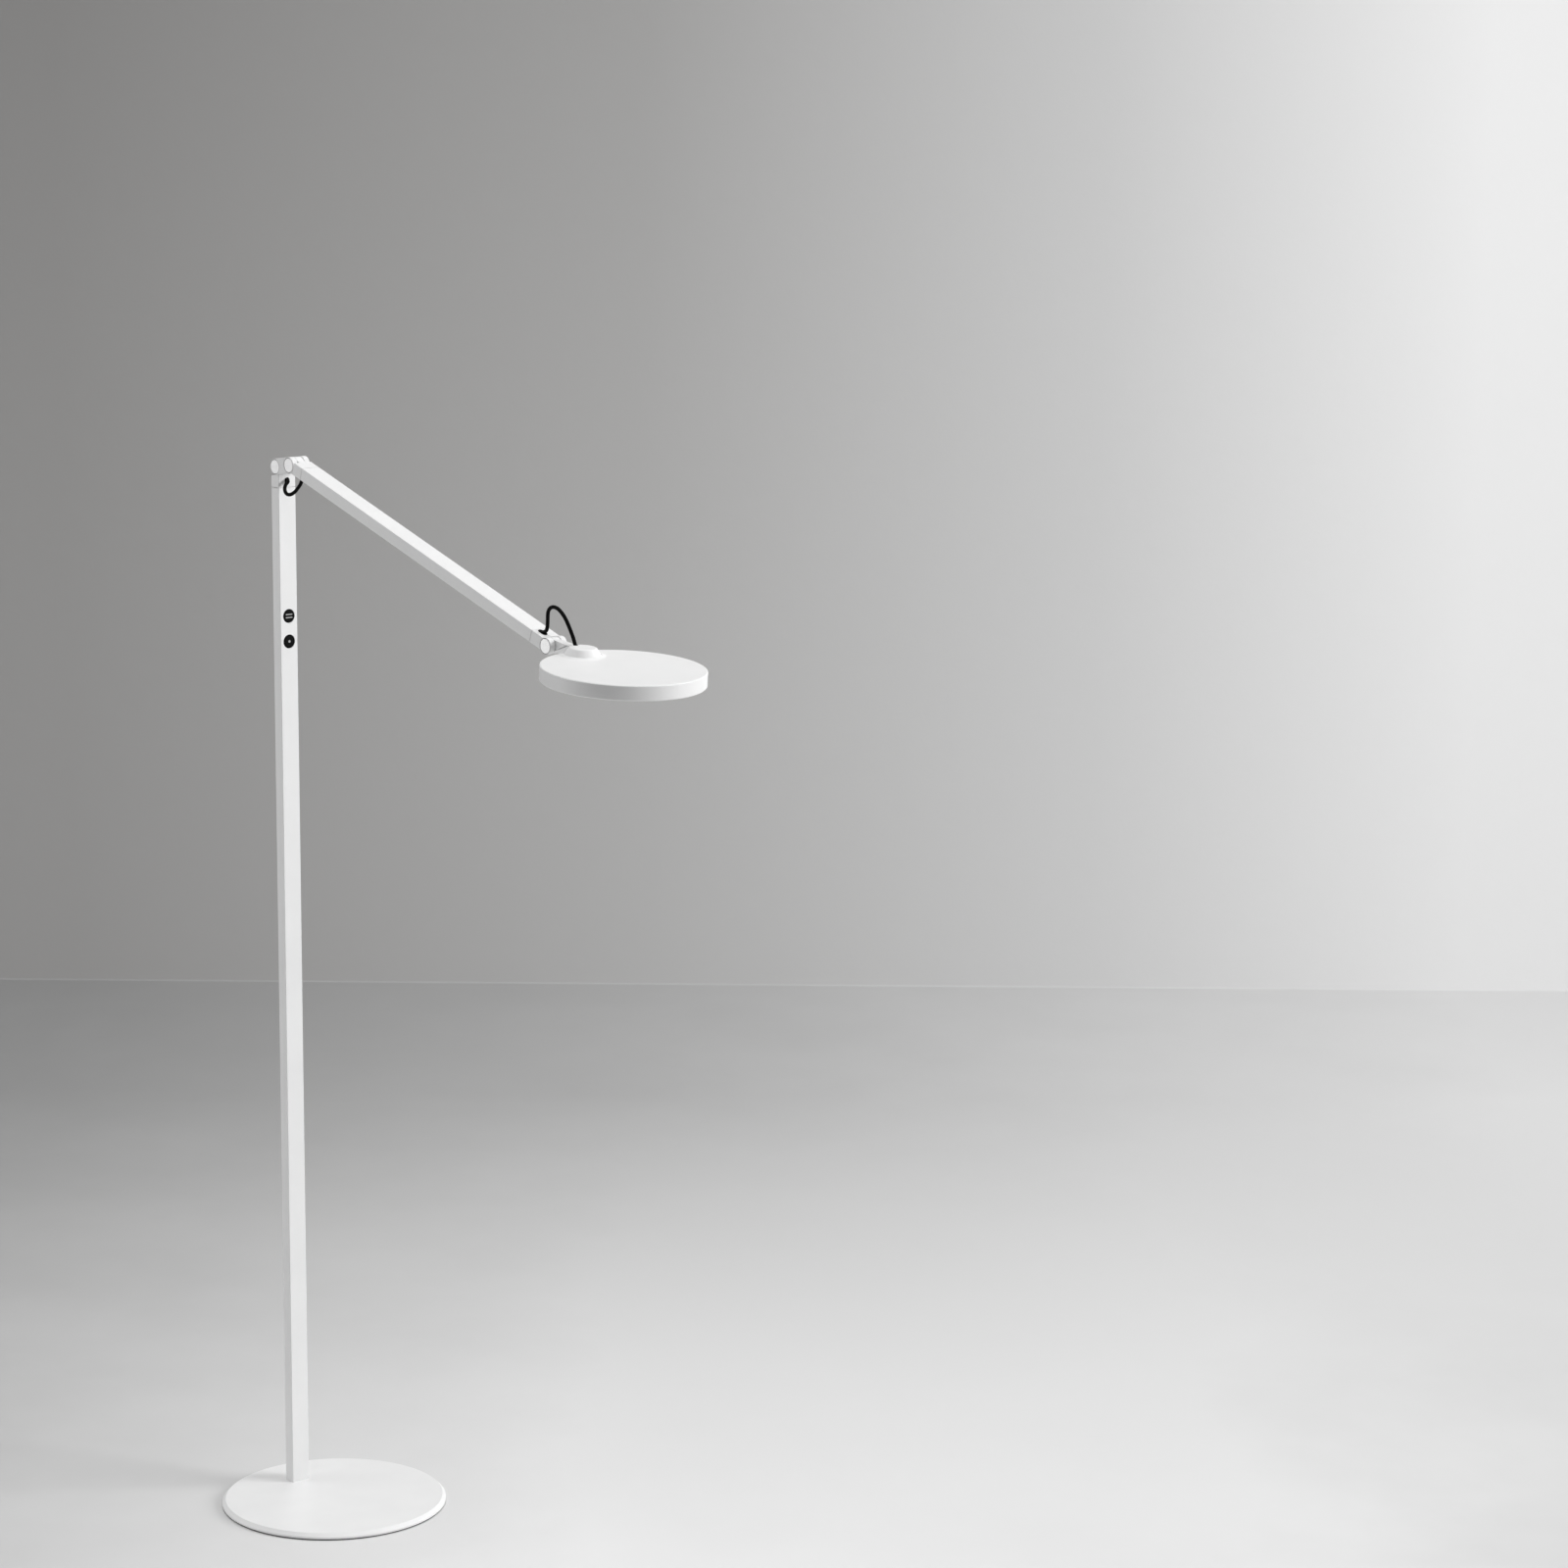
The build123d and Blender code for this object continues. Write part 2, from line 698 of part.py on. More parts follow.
with BuildPart() as arm_tip:
    with BuildSketch(tip_plane) as tip_profile:
        Circle(joint_radius)
        with Locations((-arm_seam / 2, 0)):
            Rectangle(arm_seam, tube_depth)
        fillet(tip_profile.vertices().sort_by(arm_way)[2:4], 2.0)
    extrude(amount=half_width, both=True)
    tip_rims = arm_tip.faces().filter_by(Axis.Y).edges().sort_by(arm_way)
    fillet(tip_rims[2:], tube_corner)
    bar(arm_plane, tip_at - plug_length, tip_at, plug_depth, plug_width)
    swing_slot(tip_plane, 0, *head_swing)
    disc_room(tip_plane, 0)
    axle_bores(tip_plane, 0)
    channel([before_tip(60, 0), before_tip(tip_inside, 0), before_tip(8, tip_slope * (tip_inside - 8))], 16)
    grommet_seat(tip_mouth, tip_grommet_length, tip_grommet_width, tip_grommet_depth)
    long_round(tip_under, tip_screw_radius + 0.05, -tip_screw_length - 0.5, Mode.SUBTRACT)

with BuildPart() as tip_grommet:
    grommet(tip_mouth, tip_way, tip_grommet_length, tip_grommet_width, tip_grommet_depth)

with BuildPart() as tip_set_screw:
    long_round(tip_under.offset(-0.3), tip_screw_radius, -tip_screw_length)
    with BuildSketch(tip_under.offset(-0.3)) as socket:
        RegularPolygon(1.0, 6, major_radius=False)
    extrude(socket.sketch, amount=-1.4, mode=Mode.SUBTRACT)

with BuildPart() as head_axle:
    axle(tip_plane, 0)

with BuildPart() as head_nut:
    axle_nut(tip_plane, 0)

with BuildPart() as head_washers:
    friction_washers(tip_plane, 0)

with BuildPart() as head_caps:
    pivot_caps(tip_plane, 0)
    rims = head_caps.edges().filter_by(GeomType.CIRCLE).group_by(Axis.Y)
    fillet(rims[0] + rims[-1], 0.25)

with BuildPart() as head_cap_rings:
    cap_rings(tip_plane, 0)

# Neck, which tilts on the arm and carries the turning head

neck_middle = (neck_top + neck_bottom) / 2
neck_height = neck_top - neck_bottom
clip_radius = 2.7
clip_thickness = 0.7


def skirt(start, end, bottom):
    """A bar along the neck whose sides slope out towards its bottom."""
    slope = (skirt_width - waist_width) / 2 / (waist_end - neck_bottom)
    low = waist_width / 2 + slope * (waist_end - bottom)
    high = waist_width / 2
    with BuildSketch(cross_plane(head_plane, start, 0)) as profile:
        with BuildLine():
            Polyline((-low, bottom), (low, bottom), (high, waist_end), (-high, waist_end), close=True)
        make_face()
    extrude(profile.sketch, amount=end - start)


with BuildPart() as neck:
    skirt(neck_step, neck_end, neck_bottom)
    with BuildSketch(head_plane) as above_waist:
        with BuildLine():
            Polyline(
                (neck_step, waist_start - waist_slit), (neck_end, waist_end - waist_slit),
                (neck_end, neck_top + 1), (neck_step, neck_top + 1), close=True,
            )
        make_face()
    extrude(above_waist.sketch, amount=skirt_width, both=True, mode=Mode.SUBTRACT)
    with BuildSketch(head_plane) as web:
        with BuildLine():
            Polyline(
                (neck_step, neck_bottom), (neck_end, neck_bottom), (neck_end, neck_tip),
                (neck_step, neck_top), close=True,
            )
        make_face()
    extrude(web.sketch, amount=waist_web / 2, both=True)
    with BuildSketch(head_plane) as wedge:
        with BuildLine():
            Polyline(
                (neck_step, waist_start), (neck_end, waist_end), (neck_end, neck_tip),
                (neck_step, neck_top), close=True,
            )
        make_face()
    extrude(wedge.sketch, amount=neck_width / 2, both=True)
    with BuildSketch(head_plane) as tongue_profile:
        Circle(half_depth)
        with Locations((neck_step + 2, neck_middle)):
            Rectangle(2, neck_height)
        make_hull()
    extrude(tongue_profile.sketch, amount=half_tongue, both=True)
    tongue_disc(head_plane)
    cross_round(head_plane, 0, axle_radius + axle_fit, -half_width, half_width, Mode.SUBTRACT)
    long_round(cross_plane(head_plane, neck_end, roll_height), spigot_radius, spigot_length)

with BuildPart() as neck_clip:
    with BuildSketch(cross_plane(head_plane, hub_collar_end + 0.3, roll_height)):
        Circle(clip_radius)
        Circle(spigot_radius + axle_fit, mode=Mode.SUBTRACT)
    extrude(amount=clip_thickness)

# Head

hub_way = head_plane.y_dir.rotate(Axis.Y, -hub_cable_lean)
hub_mouth = Plane(
    origin=head_plane.from_local_coords((hub_cable_at, hub_height - head_drop - hub_cable_sunk, 0)),
    z_dir=hub_way,
)
hub_seat_radius = 3.1
hub_grommet_size = 5.8
hub_grommet_depth = 0.8
hub_grommet_flange = 0.5
hub_screw_places = [(6.0, 7.5), (6.0, -7.5)]
hub_screw_radius = 1.5
hub_post_radius = 3.0
board_screw_count = 4
board_screw_circle = 60.0
hub_to_centre = hub_centre - head_centre
lead_at = 38.4
cable_to_centre = lead_at - head_centre
lead_hole_radius = 4.0
fairing_taper = degrees(atan2(fairing_radius - hub_base_radius - 0.3, fairing_height))

with BuildPart(hub_plane) as hub_cover:
    Cone(hub_base_radius, hub_top_radius, hub_height, align=on_bottom)
    fillet(hub_cover.faces().sort_by(head_up)[-1].edges(), hub_rounding)
    Cone(
        hub_base_radius - 1.25 * hub_wall, hub_top_radius - 1.25 * hub_wall, hub_height - hub_wall,
        align=on_bottom, mode=Mode.SUBTRACT,
    )
    with Locations(*hub_screw_places):
        Cylinder(hub_post_radius, hub_height - hub_wall / 2, align=on_bottom)
        Cylinder(hub_screw_radius + 0.05, hub_height - 2 * hub_wall, align=on_bottom, mode=Mode.SUBTRACT)
    skirt(hub_collar_start, hub_collar_end, -head_drop)
    with BuildSketch(head_plane) as collar_top:
        with Locations(((hub_collar_start + hub_cable_at - 2) / 2, (waist_end + neck_tip) / 2)):
            Rectangle(hub_cable_at - 2 - hub_collar_start, neck_tip - waist_end)
    extrude(collar_top.sketch, amount=neck_width / 2, both=True)
    long_round(
        cross_plane(head_plane, hub_collar_start - 2, roll_height), spigot_radius + axle_fit,
        hub_collar_end - hub_collar_start + 4, Mode.SUBTRACT,
    )
    long_round(cross_plane(head_plane, hub_collar_end, roll_height), clip_radius + 0.3, 1.7, Mode.SUBTRACT)
    long_round(hub_mouth, hub_seat_radius, 6, Mode.SUBTRACT)
    grommet_seat(hub_mouth, hub_grommet_size, hub_grommet_size, hub_grommet_depth)
    long_round(hub_mouth.offset(-6), bore_radius, 9, Mode.SUBTRACT)

with BuildPart() as hub_grommet:
    grommet(hub_mouth, hub_way, hub_grommet_size, hub_grommet_size, hub_grommet_depth, hub_grommet_flange)

with BuildPart(face_plane) as head_housing:
    Cylinder(head_diameter / 2, head_thickness, align=on_top)
    fillet(head_housing.faces().sort_by(head_up)[-1].edges(), 1.2)
    chamfer(head_housing.faces().sort_by(head_up)[0].edges(), 1.1)
    with Locations((0, 0, -head_top_wall)):
        Cylinder(
            head_diameter / 2 - head_wall, head_thickness - head_top_wall, align=on_top,
            mode=Mode.SUBTRACT,
        )
    with Locations(*[(hub_to_centre + x, y, 0) for x, y in hub_screw_places]):
        Cylinder(hub_screw_radius + 0.2, 2 * head_top_wall, align=on_top, mode=Mode.SUBTRACT)
    with Locations((cable_to_centre, 0, 0)):
        Cylinder(lead_hole_radius, 2 * head_top_wall, align=on_top, mode=Mode.SUBTRACT)
    with BuildSketch(face_plane) as fairing:
        Circle(head_diameter / 2 - 1.3)
        with Locations((hub_to_centre, 0)):
            Circle(fairing_radius, mode=Mode.INTERSECT)
    extrude(fairing.sketch, amount=fairing_height, taper=fairing_taper)
    with Locations((hub_to_centre, 0, 0)):
        Cylinder(hub_base_radius + 0.1, 2 * fairing_height, align=on_bottom, mode=Mode.SUBTRACT)
    with PolarLocations(board_screw_circle, board_screw_count, 45):
        with Locations((0, 0, -head_top_wall)):
            Cylinder(3.5, spreader_depth - head_top_wall, align=on_top)
        with Locations((0, 0, -spreader_depth)):
            Cylinder(1.55, spreader_depth - 1.0, align=on_bottom, mode=Mode.SUBTRACT)

with BuildPart(face_plane) as hub_screws:
    with Locations(*[(hub_to_centre + x, y, -head_top_wall) for x, y in hub_screw_places]):
        Cylinder(2.7, 1.5, align=on_top)
        Cylinder(hub_screw_radius, head_top_wall + hub_height - 2 * hub_wall - 0.3, align=on_bottom)

with BuildPart(face_plane) as heat_spreader:
    with Locations((0, 0, -spreader_depth)):
        Cylinder(spreader_radius, spreader_thickness, align=on_top)
        with PolarLocations(board_screw_circle, board_screw_count, 45):
            Cylinder(1.7, spreader_thickness, align=on_top, mode=Mode.SUBTRACT)
    with Locations((cable_to_centre, 0, -spreader_depth)):
        Cylinder(lead_hole_radius, spreader_thickness, align=on_top, mode=Mode.SUBTRACT)

led_board_depth = spreader_depth + spreader_thickness
led_depth = led_board_depth + led_board_thickness

with BuildPart(face_plane) as led_board:
    with Locations((0, 0, -led_board_depth)):
        Cylinder(led_board_radius, led_board_thickness, align=on_top)
        with PolarLocations(board_screw_circle, board_screw_count, 45):
            Cylinder(1.7, led_board_thickness, align=on_top, mode=Mode.SUBTRACT)
    with Locations((cable_to_centre, 0, -led_board_depth)):
        Cylinder(lead_hole_radius, led_board_thickness, align=on_top, mode=Mode.SUBTRACT)

with BuildPart(face_plane) as led_chips:
    with Locations((0, 0, -led_depth)):
        for ring_radius, count in ((20.0, 6), (36.0, 12), (51.0, 18)):
            with PolarLocations(ring_radius, count, 7.5):
                Box(led_size, led_size, led_height, align=on_top)

with BuildPart(face_plane) as board_screws:
    with PolarLocations(board_screw_circle, board_screw_count, 45):
        with Locations((0, 0, -led_depth)):
            Cylinder(2.7, 1.5, align=on_top)
            Cylinder(1.5, led_depth - 1.2, align=on_bottom)

with BuildPart(face_plane) as diffuser:
    with Locations((0, 0, -diffuser_depth)):
        Cylinder(diffuser_radius, diffuser_thickness, align=on_top)

with BuildPart(face_plane) as trim_ring:
    ring_bottom = head_thickness - trim_inset
    with Locations((0, 0, -trim_depth)):
        Cylinder(head_diameter / 2 - head_wall - 0.15, ring_bottom - trim_depth, align=on_top)
        Cylinder(diffuser_radius + 0.2, ring_bottom - trim_depth - trim_lip, align=on_top, mode=Mode.SUBTRACT)
        Cylinder(trim_inner_radius, ring_bottom - trim_depth, align=on_top, mode=Mode.SUBTRACT)

# Cables inside the tubes, and the two loops that bridge the joints

terminal_x = board_front_x + terminal_size[0] / 2
loop_start_z = post_exit_z - 12
heel_loop_end = heel_entry + 13.5
tip_loop_start = tip_inside + 12
split_gap = 0.02


def from_elbow(forward, side, up):
    """A point beside the first elbow pivot."""
    return (post_x + forward, side, elbow_height + up)


def from_head(forward, side, up):
    """A point beside the head pivot."""
    return (head_pivot.X + forward, side, head_pivot.Z + up)


def on_head(along, up):
    """A point on the head's middle, forward of the head pivot and above it."""
    return tuple(head_plane.from_local_coords((along, up, 0)))


post_cable_start = (post_x + 0.5, 0, inlet_height + 14)
post_cable_end = (terminal_x, 0, board_low - cable_gap)
lower_post_cable = cable(
    "lower_post_cable",
    [(rear_x + 3.1, 0, inlet_height), (post_x + 1.8, 0, inlet_height + 1.5), post_cable_start,
     *swaying(post_cable_start, post_cable_end, 16), post_cable_end],
)
upper_post_cable = cable(
    "upper_post_cable",
    [(terminal_x, 0, board_high + cable_gap), (terminal_x + 0.6, 0, board_high + 25),
     (terminal_x + 0.2, 0, board_high + 62), (post_cable_x, 0, loop_start_z - 14),
     (post_cable_x, 0.01, loop_start_z - cable_gap)],
)
arm_cable_start = on_arm(heel_loop_end + cable_gap, heel_cable_up)
arm_cable_end = before_tip(tip_loop_start + cable_gap, 0)
arm_cable = cable(
    "arm_cable",
    [arm_cable_start, on_arm(heel_loop_end + 20, heel_cable_up),
     *swaying(on_arm(heel_loop_end + 20, 0), before_tip(tip_loop_start + 20, 0), 7),
     before_tip(tip_loop_start + 20, 0), arm_cable_end],
)

elbow_low_post_side = from_elbow(16.9, -10.3, -26.2)
elbow_low_arm_side = from_elbow(21.8, -9.2, -29.3)
elbow_cable_post_side = cable(
    "elbow_cable_post_side",
    [(post_cable_x, 0, loop_start_z), post_bend, from_elbow(11.2, 0, -post_exit_drop),
     from_elbow(13.2, -7.8, -19.4), elbow_low_post_side,
     middle(elbow_low_post_side, elbow_low_arm_side, -split_gap)],
)
elbow_cable_arm_side = cable(
    "elbow_cable_arm_side",
    [middle(elbow_low_post_side, elbow_low_arm_side, split_gap), elbow_low_arm_side,
     from_elbow(28.6, -6.6, -26.4), from_elbow(34.0, -4.8, -20.2), on_arm(heel_entry, -half_depth - 6.5),
     on_arm(heel_entry, heel_cable_up), on_arm(heel_loop_end, heel_cable_up)],
)

head_slope_arm_side = from_head(13.8, -2.1, 36.8)
head_slope_hub_side = from_head(20.4, -1.5, 30.6)
head_cable_arm_side = cable(
    "head_cable_arm_side",
    [before_tip(tip_loop_start, 0), before_tip(tip_inside, 0),
     before_tip(11.6, tip_slope * (tip_inside - 11.6)), from_head(-4.6, -4.0, 19.2),
     from_head(-4.3, -4.0, 28.4), from_head(-4.0, -3.8, 35.2), from_head(0.8, -3.3, 39.7),
     from_head(7.6, -2.7, 39.8), head_slope_arm_side,
     middle(head_slope_arm_side, head_slope_hub_side, -split_gap)],
)
head_cable_hub_side = cable(
    "head_cable_hub_side",
    [middle(head_slope_arm_side, head_slope_hub_side, split_gap), head_slope_hub_side,
     from_head(25.6, -1.0, 22.8), from_head(29.2, -0.4, 15.8),
     tuple(hub_mouth.origin + hub_way * 7.0), tuple(hub_mouth.origin - hub_way * 6.5),
     on_head(lead_at, -head_drop - 2.0), on_head(lead_at + 0.6, -head_drop - led_depth)],
)

# Writing the pieces

pieces = {
    "base_pad": base_pad,
    "base_plate": base_plate,
    "base_bolts": base_bolts,
    "post_foot": post_foot,
    "post_tube": post_tube,
    "post_head": post_head,
    "post_head_screws": post_head_screws,
    "post_grommet": post_grommet,
    "inlet_bush": inlet_bush,
    "switch_carrier": switch_carrier,
    "control_board": control_board,
    "tact_switches": tact_switches,
    "wire_terminals": wire_terminals,
    "driver_coil": driver_coil,
    "upper_button": upper_button,
    "lower_button": lower_button,
    "upper_button_mark": upper_button_mark,
    "lower_button_mark": lower_button_mark,
    "elbow_link": elbow_link,
    "elbow_axles": elbow_axles,
    "elbow_nuts": elbow_nuts,
    "elbow_washers": elbow_washers,
    "elbow_caps": elbow_caps,
    "elbow_cap_rings": elbow_cap_rings,
    "arm_heel": arm_heel,
    "heel_grommet": heel_grommet,
    "arm_tube": arm_tube,
    "arm_tip": arm_tip,
    "tip_grommet": tip_grommet,
    "tip_set_screw": tip_set_screw,
    "head_axle": head_axle,
    "head_nut": head_nut,
    "head_washers": head_washers,
    "head_caps": head_caps,
    "head_cap_rings": head_cap_rings,
    "neck": neck,
    "neck_clip": neck_clip,
    "hub_cover": hub_cover,
    "hub_grommet": hub_grommet,
    "hub_screws": hub_screws,
    "head_housing": head_housing,
    "heat_spreader": heat_spreader,
    "led_board": led_board,
    "led_chips": led_chips,
    "board_screws": board_screws,
    "diffuser": diffuser,
    "trim_ring": trim_ring,
    "lower_post_cable": lower_post_cable,
    "upper_post_cable": upper_post_cable,
    "arm_cable": arm_cable,
    "elbow_cable_post_side": elbow_cable_post_side,
    "elbow_cable_arm_side": elbow_cable_arm_side,
    "head_cable_arm_side": head_cable_arm_side,
    "head_cable_hub_side": head_cable_hub_side,
}

os.makedirs("parts", exist_ok=True)
for name, piece in pieces.items():
    piece.part.label = name
    export_step(piece.part, f"parts/{name}.step")

print("elbow pivot 1", (post_x, 0, elbow_height))
print("elbow pivot 2", tuple(elbow_pivot))
print("head pivot", tuple(head_pivot))
print("roll axis", on_head(neck_end, roll_height), tuple(head_plane.x_dir))
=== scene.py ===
import json
import math

import bmesh
import bpy
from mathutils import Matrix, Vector


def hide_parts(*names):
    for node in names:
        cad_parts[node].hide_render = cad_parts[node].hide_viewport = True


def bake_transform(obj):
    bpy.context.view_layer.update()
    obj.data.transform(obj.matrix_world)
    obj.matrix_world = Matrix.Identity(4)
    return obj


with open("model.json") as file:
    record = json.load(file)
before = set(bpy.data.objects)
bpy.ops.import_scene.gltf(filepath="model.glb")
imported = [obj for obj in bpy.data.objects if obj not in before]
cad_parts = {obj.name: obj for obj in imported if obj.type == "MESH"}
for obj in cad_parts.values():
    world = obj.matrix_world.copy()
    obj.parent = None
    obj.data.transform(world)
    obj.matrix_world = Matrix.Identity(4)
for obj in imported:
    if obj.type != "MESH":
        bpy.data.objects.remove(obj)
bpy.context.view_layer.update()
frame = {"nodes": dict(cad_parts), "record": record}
scene = bpy.context.scene
scene.view_settings.view_transform = "Standard"

# Places in metres, as in the solids
ELBOW_PIVOT_1 = (-0.0700, 0.0, 1.1620)
ELBOW_PIVOT_2 = (-0.04488, 0.0, 1.16575)
HEAD_PIVOT = (0.39281, 0.0, 1.02100)
HEAD_CENTRE = (0.50324, 0.0, 1.01187)
HEAD_PITCH = math.radians(-3.9)
CABLE = 0.0040
TUBE_SIDES = 24
ROUTE_STEPS = 20

# Fine grooves, from one to the next
CAP_RING_PITCH = 0.00022
PRISM_PITCH = 0.0011

# Camera

lens = bpy.data.cameras.new("camera")
lens.sensor_width = 36.0
lens.sensor_fit = "HORIZONTAL"
lens.lens = 99.8618
lens.clip_end = 60.0
camera = bpy.data.objects.new("camera", lens)
camera.location = (3.77676, -2.76439, 1.70571)
camera.rotation_euler = (1.383602, -0.007124, 0.833392)
scene.collection.objects.link(camera)
scene.camera = camera


# Node helpers

class Shader:
    """A material's node tree, with short calls for the nodes used here."""

    # A Mix node's colour sockets share their names with its other types, so they go by number
    MIX_FIRST, MIX_SECOND, MIX_RESULT = 6, 7, 2
    NOISE_ROUGHNESS = 0.55

    def __init__(self, name, **values):
        self.material = bpy.data.materials.new(name)
        self.material.use_nodes = True
        self.tree = self.material.node_tree
        self.bsdf = self.tree.nodes["Principled BSDF"]
        for socket, value in values.items():
            self.bsdf.inputs[socket.replace("_", " ")].default_value = value
        self.place = self.node("ShaderNodeTexCoord").outputs["Object"]

    def node(self, kind, **settings):
        made = self.tree.nodes.new(kind)
        for key, value in settings.items():
            setattr(made, key, value)
        return made

    def link(self, source, target):
        self.tree.links.new(source, target)

    def noise(self, scale, detail=3.0):
        made = self.node("ShaderNodeTexNoise")
        made.inputs["Scale"].default_value = scale
        made.inputs["Detail"].default_value = detail
        made.inputs["Roughness"].default_value = self.NOISE_ROUGHNESS
        self.link(self.place, made.inputs["Vector"])
        return made.outputs["Fac"]

    def speckle(self, scale):
        made = self.node("ShaderNodeTexVoronoi")
        made.inputs["Scale"].default_value = scale
        self.link(self.place, made.inputs["Vector"])
        return made.outputs["Distance"]

    def math(self, operation, first, second=0.0):
        made = self.node("ShaderNodeMath", operation=operation)
        for socket, value in zip(made.inputs, (first, second)):
            if isinstance(value, (int, float)):
                socket.default_value = value
            else:
                self.link(value, socket)
        return made.outputs[0]

    def spread(self, value, low, high, start=0.3, end=0.7):
        made = self.node("ShaderNodeMapRange")
        self.link(value, made.inputs["Value"])
        made.inputs["From Min"].default_value = start
        made.inputs["From Max"].default_value = end
        made.inputs["To Min"].default_value = low
        made.inputs["To Max"].default_value = high
        return made.outputs[0]

    def colours(self, value, *stops):
        made = self.node("ShaderNodeValToRGB")
        ramp = made.color_ramp
        while len(ramp.elements) < len(stops):
            ramp.elements.new(0.5)
        for element, (position, colour) in zip(ramp.elements, stops):
            element.position = position
            element.color = (*colour, 1.0)
        self.link(value, made.inputs["Fac"])
        return made.outputs["Color"]

    def mixed(self, factor, first, second):
        made = self.node("ShaderNodeMix", data_type="RGBA")
        self.link(factor, made.inputs["Factor"])
        self.link(first, made.inputs[self.MIX_FIRST])
        self.link(second, made.inputs[self.MIX_SECOND])
        return made.outputs[self.MIX_RESULT]

    def paint(self, colour, roughness, heights):
        """Joins colour, roughness if it varies, and bump heights of (value, strength, distance)."""
        self.link(colour, self.bsdf.inputs["Base Color"])
        if roughness is not None:
            self.link(roughness, self.bsdf.inputs["Roughness"])
        normal = None
        for value, strength, distance in heights:
            bump = self.node("ShaderNodeBump")
            bump.inputs["Strength"].default_value = strength
            bump.inputs["Distance"].default_value = distance
            self.link(value, bump.inputs["Height"])
            if normal is not None:
                self.link(normal, bump.inputs["Normal"])
            normal = bump.outputs["Normal"]
        self.link(normal, self.bsdf.inputs["Normal"])
        return self.material

    def radius_about(self, point, pitch=0.0, across=True):
        """Distance from an axis through a point: along Y, or square to the pitched head."""
        made = self.node("ShaderNodeMapping", vector_type="TEXTURE")
        made.inputs["Location"].default_value = point
        made.inputs["Rotation"].default_value = (0.0, -pitch, 0.0)
        self.link(self.place, made.inputs["Vector"])
        parts = self.node("ShaderNodeSeparateXYZ")
        self.link(made.outputs["Vector"], parts.inputs["Vector"])
        first = parts.outputs["X"]
        second = parts.outputs["Z"] if across else parts.outputs["Y"]
        first_square = self.math("MULTIPLY", first, first)
        second_square = self.math("MULTIPLY", second, second)
        return self.math("SQRT", self.math("ADD", first_square, second_square))


# Materials, one for each slot of the record

def powder_coat(name, low, high):
    """White powder coat: a fine orange peel, a finer grain, and faint clouding."""
    s = Shader(name, Specular_IOR_Level=0.45)
    grain = s.noise(scale=2600.0, detail=2.0)
    peel = s.noise(scale=620.0, detail=3.0)
    cloud = s.noise(scale=14.0, detail=4.0)
    tone = s.math("ADD", s.math("MULTIPLY", cloud, 0.7), s.math("MULTIPLY", grain, 0.3))
    colour = s.colours(tone, (0.34, low), (0.66, high))
    gloss = s.spread(peel, low=0.36, high=0.48)
    return s.paint(colour, gloss, [(peel, 0.10, 0.00015), (grain, 0.12, 0.00006)])


def turned_metal(name, pivots):
    """Satin metal faced on a lathe: fine rings about each pivot."""
    s = Shader(name, Metallic=1.0)
    reach = s.radius_about(pivots[0])
    for pivot in pivots[1:]:
        reach = s.math("MINIMUM", reach, s.radius_about(pivot))
    rings = s.math("SINE", s.math("MULTIPLY", reach, 2 * math.pi / CAP_RING_PITCH))
    smear = s.noise(scale=900.0, detail=2.0)
    colour = s.colours(smear, (0.3, (0.64, 0.64, 0.642)), (0.7, (0.71, 0.71, 0.71)))
    gloss = s.spread(smear, low=0.26, high=0.36)
    return s.paint(colour, gloss, [(rings, 0.22, 0.00002)])


def plain_metal(name, low, high, rough):
    """Machined metal, with a fine grain along it."""
    s = Shader(name, Metallic=1.0)
    grain = s.noise(scale=1800.0, detail=4.0)
    colour = s.colours(grain, (0.3, low), (0.7, high))
    gloss = s.spread(grain, low=rough - 0.06, high=rough + 0.06)
    return s.paint(colour, gloss, [(grain, 0.15, 0.00004)])


def moulded(name, low, high, rough, texture=1400.0, height=0.00006, **values):
    """Moulded plastic or rubber with a fine spark texture."""
    s = Shader(name, **values)
    spark = s.speckle(scale=texture)
    cloud = s.noise(scale=60.0, detail=3.0)
    colour = s.colours(cloud, (0.32, low), (0.68, high))
    gloss = s.spread(spark, low=rough - 0.05, high=rough + 0.07, start=0.1, end=0.8)
    return s.paint(colour, gloss, [(spark, 0.25, height)])


def cable_sheath(name):
    """Black sheath: satin, with faint drawing lines and a little dust."""
    s = Shader(name, Specular_IOR_Level=0.06)
    draw = s.noise(scale=1500.0, detail=2.0)
    dust = s.noise(scale=220.0, detail=4.0)
    colour = s.colours(dust, (0.35, (0.0025, 0.0025, 0.0026)), (0.8, (0.006, 0.006, 0.0062)))
    gloss = s.spread(draw, low=0.42, high=0.54)
    return s.paint(colour, gloss, [(draw, 0.1, 0.00004)])


def opal(name):
    """Opal acrylic: milky, lightly satined."""
    s = Shader(name, Subsurface_Weight=0.25, Subsurface_Scale=0.002, IOR=1.49, Coat_Weight=0.15)
    s.bsdf.inputs["Subsurface Radius"].default_value = (1.0, 0.98, 0.94)
    milk = s.noise(scale=35.0, detail=4.0)
    satin = s.noise(scale=2200.0, detail=2.0)
    colour = s.colours(milk, (0.3, (0.865, 0.865, 0.85)), (0.7, (0.90, 0.90, 0.888)))
    gloss = s.spread(satin, low=0.26, high=0.36)
    return s.paint(colour, gloss, [(satin, 0.06, 0.00004)])


